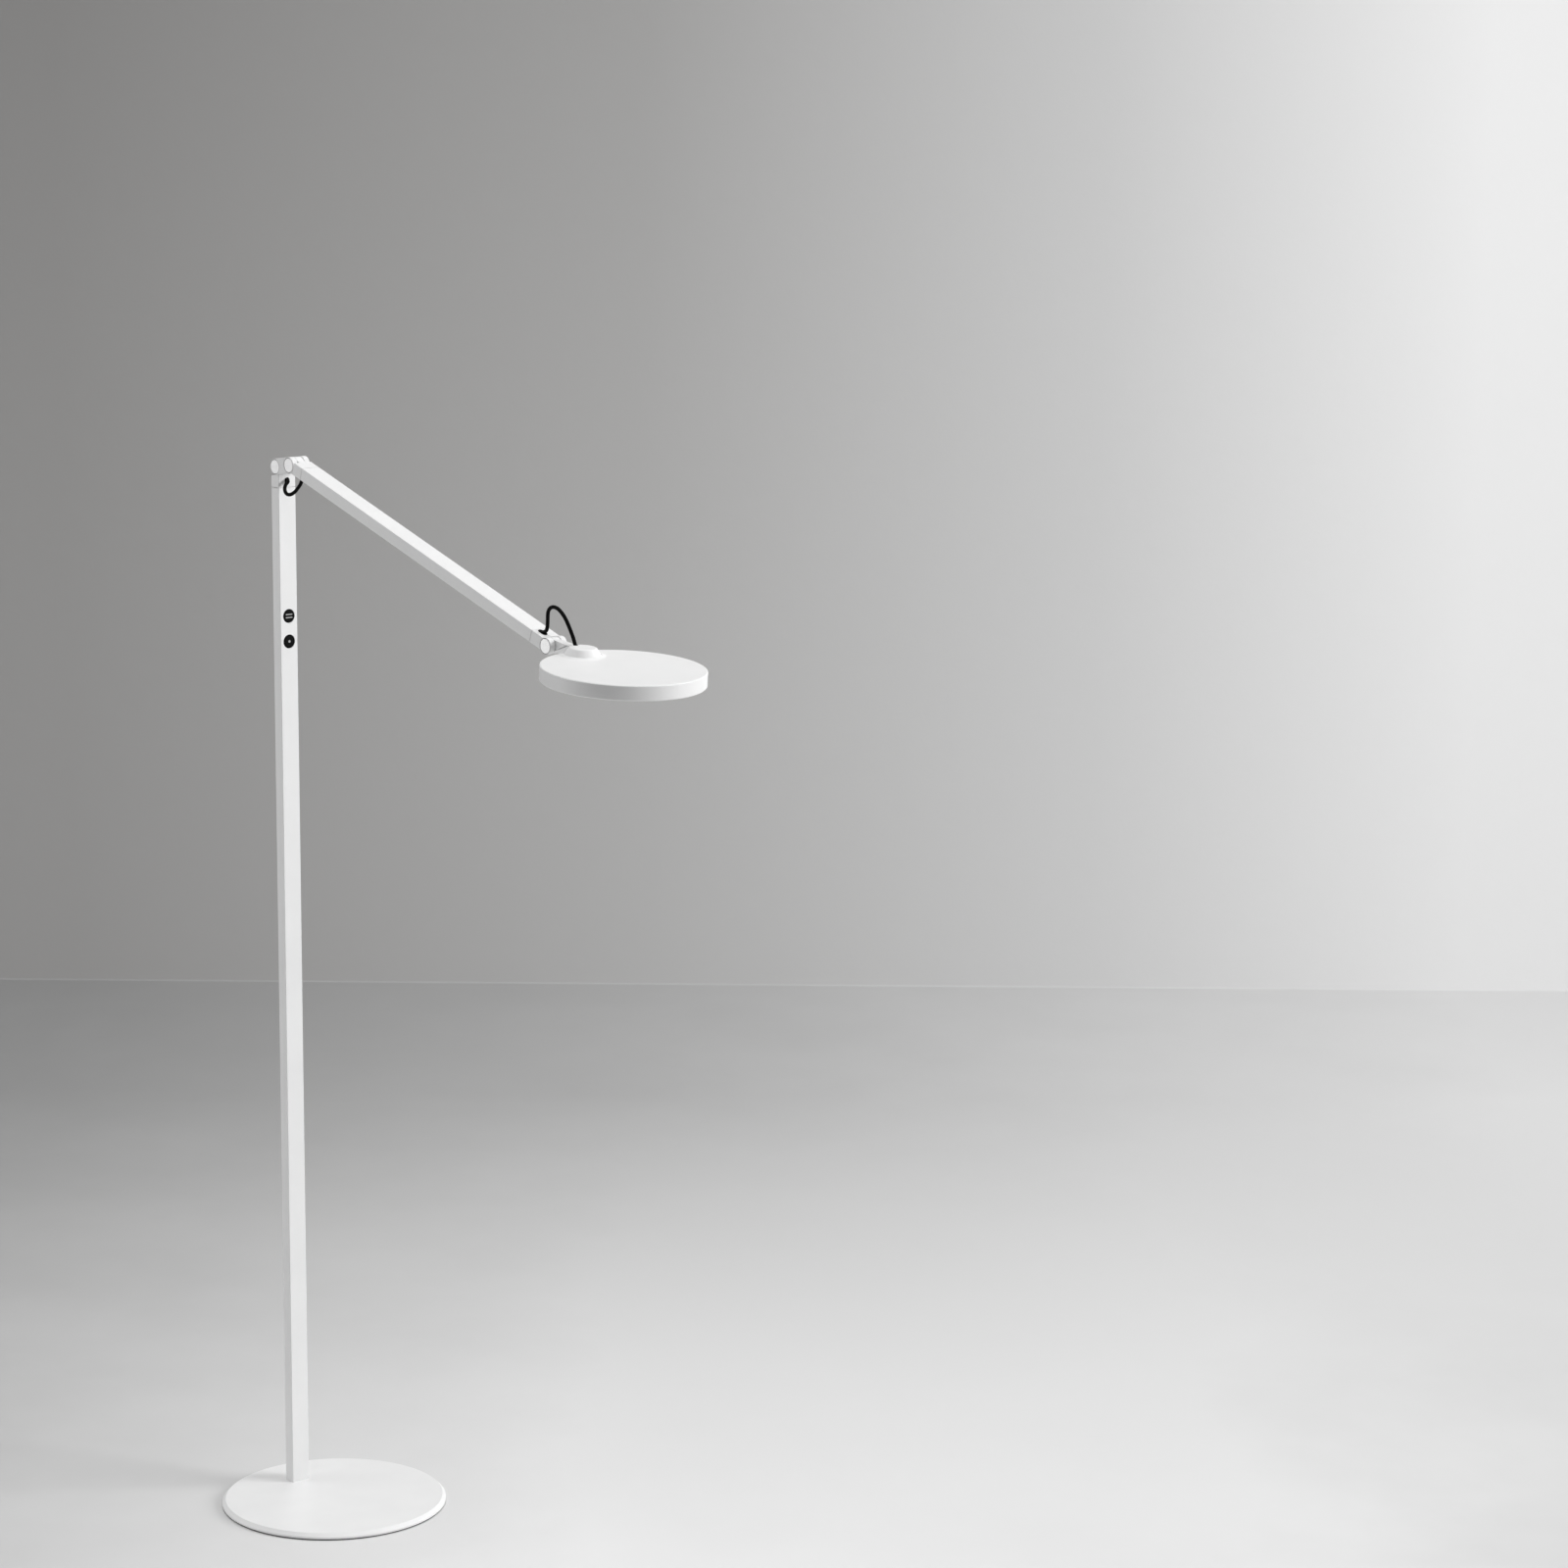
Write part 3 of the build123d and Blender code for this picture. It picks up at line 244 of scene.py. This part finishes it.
def frosted(name):
    """Frosted border ring: fine prisms that run round the head."""
    s = Shader(name, IOR=1.49, Coat_Weight=0.1)
    reach = s.radius_about(HEAD_CENTRE, HEAD_PITCH, across=False)
    prisms = s.math("SINE", s.math("MULTIPLY", reach, 2 * math.pi / PRISM_PITCH))
    frost = s.noise(scale=2400.0, detail=2.0)
    tone = s.math("ADD", s.math("MULTIPLY", prisms, 0.18), s.math("MULTIPLY", frost, 0.6))
    colour = s.colours(tone, (0.1, (0.62, 0.625, 0.63)), (0.55, (0.74, 0.742, 0.745)))
    gloss = s.spread(frost, low=0.3, high=0.44)
    return s.paint(colour, gloss, [(prisms, 0.3, 0.00012), (frost, 0.08, 0.00004)])


def circuit_board(name):
    """White solder mask with copper tracks showing through as faint lines."""
    s = Shader(name, Specular_IOR_Level=0.5)
    tracks = s.node("ShaderNodeTexBrick")
    tracks.inputs["Scale"].default_value = 90.0
    tracks.inputs["Mortar Size"].default_value = 0.03
    tracks.inputs["Color1"].default_value = (0.80, 0.80, 0.77, 1.0)
    tracks.inputs["Color2"].default_value = (0.76, 0.77, 0.74, 1.0)
    tracks.inputs["Mortar"].default_value = (0.66, 0.67, 0.62, 1.0)
    s.link(s.place, tracks.inputs["Vector"])
    gloss = s.spread(s.noise(scale=800.0), low=0.3, high=0.42)
    return s.paint(tracks.outputs["Color"], gloss, [(tracks.outputs["Fac"], 0.2, 0.00005)])


def wound_wire(name):
    """Varnished copper wire, wound close."""
    s = Shader(name, Metallic=0.85)
    winding = s.node("ShaderNodeTexWave", bands_direction="X")
    winding.inputs["Scale"].default_value = 900.0
    s.link(s.place, winding.inputs["Vector"])
    colour = s.colours(winding.outputs["Fac"], (0.2, (0.22, 0.08, 0.03)), (0.8, (0.60, 0.28, 0.12)))
    gloss = s.spread(winding.outputs["Fac"], low=0.25, high=0.4)
    return s.paint(colour, gloss, [(winding.outputs["Fac"], 0.5, 0.0002)])


materials = {
    "white_coat": powder_coat("white_coat", (0.832, 0.834, 0.835), (0.876, 0.877, 0.876)),
    # base_paint is white_coat painted a shade lighter: painted light on the base top, which the lamps
    # leave a little dim
    "base_paint": powder_coat("base_paint", (0.866, 0.868, 0.869), (0.908, 0.909, 0.908)),
    "bare_alloy": plain_metal("bare_alloy", (0.62, 0.62, 0.63), (0.74, 0.74, 0.75), 0.38),
    "steel": plain_metal("steel", (0.42, 0.42, 0.43), (0.58, 0.58, 0.59), 0.32),
    "black_steel": plain_metal("black_steel", (0.02, 0.02, 0.021), (0.05, 0.05, 0.052), 0.42),
    "washer": moulded("washer", (0.70, 0.69, 0.65), (0.76, 0.75, 0.71), 0.5),
    "cap_metal": turned_metal("cap_metal", [ELBOW_PIVOT_1, ELBOW_PIVOT_2, HEAD_PIVOT]),
    "pad_rubber": moulded(
        "pad_rubber", (0.006, 0.006, 0.006), (0.012, 0.012, 0.012), 0.75, 700.0, 0.00015,
        Specular_IOR_Level=0.12,
    ),
    "black_rubber": moulded(
        "black_rubber", (0.003, 0.003, 0.0031), (0.007, 0.007, 0.0072), 0.62,
        Specular_IOR_Level=0.06,
    ),
    "cable": cable_sheath("cable"),
    "inner_plastic": moulded("inner_plastic", (0.56, 0.56, 0.54), (0.62, 0.62, 0.60), 0.5),
    "black_plastic": moulded("black_plastic", (0.02, 0.02, 0.021), (0.04, 0.04, 0.041), 0.45),
    "button_plastic": moulded(
        "button_plastic", (0.002, 0.002, 0.0021), (0.005, 0.005, 0.0051), 0.46, 2200.0, 0.00003,
        Specular_IOR_Level=0.05,
    ),
    "mark": moulded("mark", (0.34, 0.34, 0.34), (0.40, 0.40, 0.40), 0.5, 2600.0, 0.00002),
    "board": circuit_board("board"),
    "copper": wound_wire("copper"),
    "light_chip": moulded("light_chip", (0.80, 0.62, 0.16), (0.90, 0.74, 0.24), 0.25, 2000.0, 0.00003),
    "opal": opal("opal"),
    "frosted_border": frosted("frosted_border"),
}

for entry in frame["record"]["subparts"]:
    solid = frame["nodes"][entry["node"]]
    solid.data.materials.clear()
    solid.data.materials.append(materials[entry["material_slot"]])


# Cables: each loop is two tubes, because it bridges two joints

def route_line(points):
    """The smooth line of a route, as points close together."""
    curve = bpy.data.curves.new("route", "CURVE")
    curve.dimensions = "3D"
    curve.resolution_u = ROUTE_STEPS
    spline = curve.splines.new("NURBS")
    spline.points.add(len(points) - 1)
    for knot, place in zip(spline.points, points):
        knot.co = (*place, 1.0)
    spline.order_u = 3
    spline.use_endpoint_u = True
    holder = bpy.data.objects.new("route", curve)
    scene.collection.objects.link(holder)
    bpy.context.view_layer.update()
    graph = bpy.context.evaluated_depsgraph_get()
    mesh = bpy.data.meshes.new_from_object(holder.evaluated_get(graph))
    line = [v.co.copy() for v in mesh.vertices]
    bpy.data.meshes.remove(mesh)
    bpy.data.objects.remove(holder)
    bpy.data.curves.remove(curve)
    return line


def cable_tube(name, points):
    """A round cable on a route, which bends between two bodies."""
    line = route_line(points)
    tube = bmesh.new()
    rings = []
    across = None
    for i, place in enumerate(line):
        way = (line[min(i + 1, len(line) - 1)] - line[max(i - 1, 0)]).normalized()
        if across is None:
            across = way.orthogonal().normalized()
        across = (across - way * across.dot(way)).normalized()
        other = way.cross(across)
        ring = []
        for k in range(TUBE_SIDES):
            angle = 2 * math.pi * k / TUBE_SIDES
            offset = across * math.cos(angle) + other * math.sin(angle)
            ring.append(tube.verts.new(place + offset * CABLE / 2))
        rings.append(ring)
    for ring, following in zip(rings, rings[1:]):
        for k in range(TUBE_SIDES):
            n = (k + 1) % TUBE_SIDES
            tube.faces.new((ring[k], ring[n], following[n], following[k]))
    tube.faces.new(list(reversed(rings[0])))
    tube.faces.new(rings[-1])
    mesh = bpy.data.meshes.new(name)
    tube.to_mesh(mesh)
    tube.free()
    for face in mesh.polygons:
        face.use_smooth = len(face.vertices) == 4
    piece = bpy.data.objects.new(name, mesh)
    scene.collection.objects.link(piece)
    mesh.materials.append(materials["cable"])
    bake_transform(piece)
    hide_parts(name.replace("_tube", ""))


ELBOW_SPLIT = (-0.05065, -0.00975, 1.13425)
HEAD_SPLIT = (0.40991, -0.00180, 1.05470)

cable_tube(
    "elbow_cable_post_side_tube",
    [
        (-0.07150, 0.00000, 1.13500),
        (-0.07150, 0.00000, 1.14700),
        (-0.05880, 0.00000, 1.14700),
        (-0.05680, -0.00780, 1.14260),
        (-0.05310, -0.01030, 1.13580),
        ELBOW_SPLIT,
    ],
)
cable_tube(
    "elbow_cable_arm_side_tube",
    [
        ELBOW_SPLIT,
        (-0.04820, -0.00920, 1.13270),
        (-0.04140, -0.00660, 1.13560),
        (-0.03600, -0.00480, 1.14180),
        (-0.03233, -0.00300, 1.14765),
        (-0.02798, -0.00300, 1.16080),
        (-0.01516, -0.00300, 1.15656),
    ],
)
cable_tube(
    "head_cable_arm_side_tube",
    [
        (0.35465, -0.00300, 1.03362),
        (0.36604, -0.00300, 1.02986),
        (0.38480, -0.00300, 1.03374),
        (0.38821, -0.00400, 1.04020),
        (0.38851, -0.00400, 1.04940),
        (0.38881, -0.00380, 1.05620),
        (0.39361, -0.00330, 1.06070),
        (0.40041, -0.00270, 1.06080),
        (0.40661, -0.00210, 1.05780),
        HEAD_SPLIT,
    ],
)
cable_tube(
    "head_cable_hub_side_tube",
    [
        HEAD_SPLIT,
        (0.41321, -0.00150, 1.05160),
        (0.41841, -0.00100, 1.04380),
        (0.42201, -0.00040, 1.03680),
        (0.42528, 0.00000, 1.03055),
        (0.42992, 0.00000, 1.01787),
        (0.43087, 0.00000, 1.01480),
        (0.43116, 0.00000, 1.01027),
    ],
)


# Floor and wall

VIEW = Vector((-0.7384, 0.6744, 0.0)).normalized()
RIGHT = Vector((0.6744, 0.7384, 0.0)).normalized()
FLOOR_REACH = 7.0
WALL_BEHIND = 2.52
WALL_HEIGHT = 4.2
HALF_WIDTH = 6.0
COVE = 0.004
COVE_STEPS = 12
# Where the stage's painted light falloff changes: up the wall, from left to right, and from back to
# front
TONES_TOP = 2.0
TONES_LEFT, TONES_RIGHT = -0.7, 1.9
TONES_BACK, TONES_FRONT = 1.8, -0.3
TONE_STOPS = (0.0, 0.37, 0.66, 0.9)


def stage_mesh():
    """A floor that turns up into a wall behind the lamp, square to the camera."""
    foot = WALL_BEHIND - COVE
    profile = [(-FLOOR_REACH, 0.0), (foot, 0.0)]
    for step in range(1, COVE_STEPS + 1):
        turn = math.pi / 2 * step / COVE_STEPS
        profile.append((foot + COVE * math.sin(turn), COVE - COVE * math.cos(turn)))
    profile.append((WALL_BEHIND, WALL_HEIGHT))
    made = bmesh.new()
    rows = []
    for along, height in profile:
        centre = VIEW * along + Vector((0.0, 0.0, height))
        rows.append([made.verts.new(centre + RIGHT * side) for side in (-HALF_WIDTH, HALF_WIDTH)])
    for low, high in zip(rows, rows[1:]):
        made.faces.new((low[0], low[1], high[1], high[0]))
    mesh = bpy.data.meshes.new("stage_sweep")
    made.to_mesh(mesh)
    made.free()
    for face in mesh.polygons:
        face.use_smooth = True
    return mesh


def grey(level):
    return (level, level, level)


def stage_material():
    """Pale floor and a greyer plaster wall, seen from the front only, with light falloff and shade
    painted into their tones across, up and along them.
    """
    s = Shader("stage_sweep", Roughness=0.85, Specular_IOR_Level=0.15)
    parts = s.node("ShaderNodeSeparateXYZ")
    s.link(s.place, parts.inputs["Vector"])
    on_wall = s.spread(parts.outputs["Z"], low=0.0, high=1.0, start=0.0, end=COVE)
    height = s.spread(parts.outputs["Z"], low=0.0, high=1.0, start=0.0, end=TONES_TOP)
    across = s.node("ShaderNodeVectorMath", operation="DOT_PRODUCT")
    across.inputs[1].default_value = tuple(RIGHT)
    s.link(s.place, across.inputs[0])
    away = s.node("ShaderNodeVectorMath", operation="DOT_PRODUCT")
    away.inputs[1].default_value = tuple(VIEW)
    s.link(s.place, away.inputs[0])
    reach = s.spread(across.outputs["Value"], low=0.0, high=1.0, start=TONES_LEFT, end=TONES_RIGHT)
    near = s.spread(away.outputs["Value"], low=0.0, high=1.0, start=TONES_BACK, end=TONES_FRONT)
    plaster = s.noise(scale=26.0, detail=5.0)
    # Painted light falloff from left to right, with a faint random mottle
    painted_falloff_and_mottle = s.math("ADD", reach, s.spread(s.noise(scale=3.0, detail=4.0), low=-0.03, high=0.03))

    def tones(value, *colours):
        return s.colours(value, *zip(TONE_STOPS, colours))

    # Painted light falloff and shade: the wall tones change from left to right and up the wall, the
    # floor tones from left to right and from back to front
    wall_low = tones(reach, (0.445, 0.44, 0.436), (0.565, 0.563, 0.56), grey(0.68), grey(0.83))
    wall_high = tones(reach, (0.255, 0.251, 0.247), (0.355, 0.351, 0.347), grey(0.59), grey(0.89))
    floor_back = tones(painted_falloff_and_mottle, grey(0.355), grey(0.485), grey(0.62), grey(0.72))
    floor_front = tones(painted_falloff_and_mottle, grey(0.54), grey(0.86), grey(0.72), grey(0.45))
    wall = s.mixed(height, wall_low, wall_high)
    floor = s.mixed(near, floor_back, floor_front)
    relief = s.math("MULTIPLY", plaster, on_wall)
    s.paint(s.mixed(on_wall, floor, wall), None, [(relief, 0.12, 0.004)])
    clear = s.node("ShaderNodeBsdfTransparent")
    choice = s.node("ShaderNodeMixShader")
    s.link(s.node("ShaderNodeNewGeometry").outputs["Backfacing"], choice.inputs["Fac"])
    s.link(s.bsdf.outputs["BSDF"], choice.inputs[1])
    s.link(clear.outputs["BSDF"], choice.inputs[2])
    s.link(choice.outputs["Shader"], s.tree.nodes["Material Output"].inputs["Surface"])
    return s.material


sweep = bpy.data.objects.new("stage_sweep", stage_mesh())
scene.collection.objects.link(sweep)
sweep.data.materials.append(stage_material())


# Light

MIDDLE = Vector((0.15, 0.0, 0.65))
UP = Vector((0.0, 0.0, 1.0))
WORLD_STRENGTH = 0.08


def area_light(name, offset, width, height, power):
    """A soft box at an offset from the middle of the lamp, which it faces."""
    lamp = bpy.data.lights.new(name, "AREA")
    lamp.shape = "RECTANGLE"
    lamp.size = width
    lamp.size_y = height
    lamp.energy = power
    holder = bpy.data.objects.new(name, lamp)
    holder.location = MIDDLE + offset
    holder.rotation_euler = (-offset).to_track_quat("-Z", "Y").to_euler()
    scene.collection.objects.link(holder)


area_light("key", RIGHT * 3.6 - VIEW * 0.42 + UP * 1.10, width=1.8, height=1.8, power=106.0)
area_light("fill", -RIGHT * 2.4 - VIEW * 0.3 + UP * 0.40, width=2.6, height=1.8, power=19.0)
area_light("top", UP * 4.2, width=4.4, height=4.4, power=150.0)

world = bpy.data.worlds.new("studio")
world.use_nodes = True
scene.world = world
sky = world.node_tree.nodes["Background"]
sky.inputs["Color"].default_value = (1.0, 1.0, 1.0, 1.0)
sky.inputs["Strength"].default_value = WORLD_STRENGTH
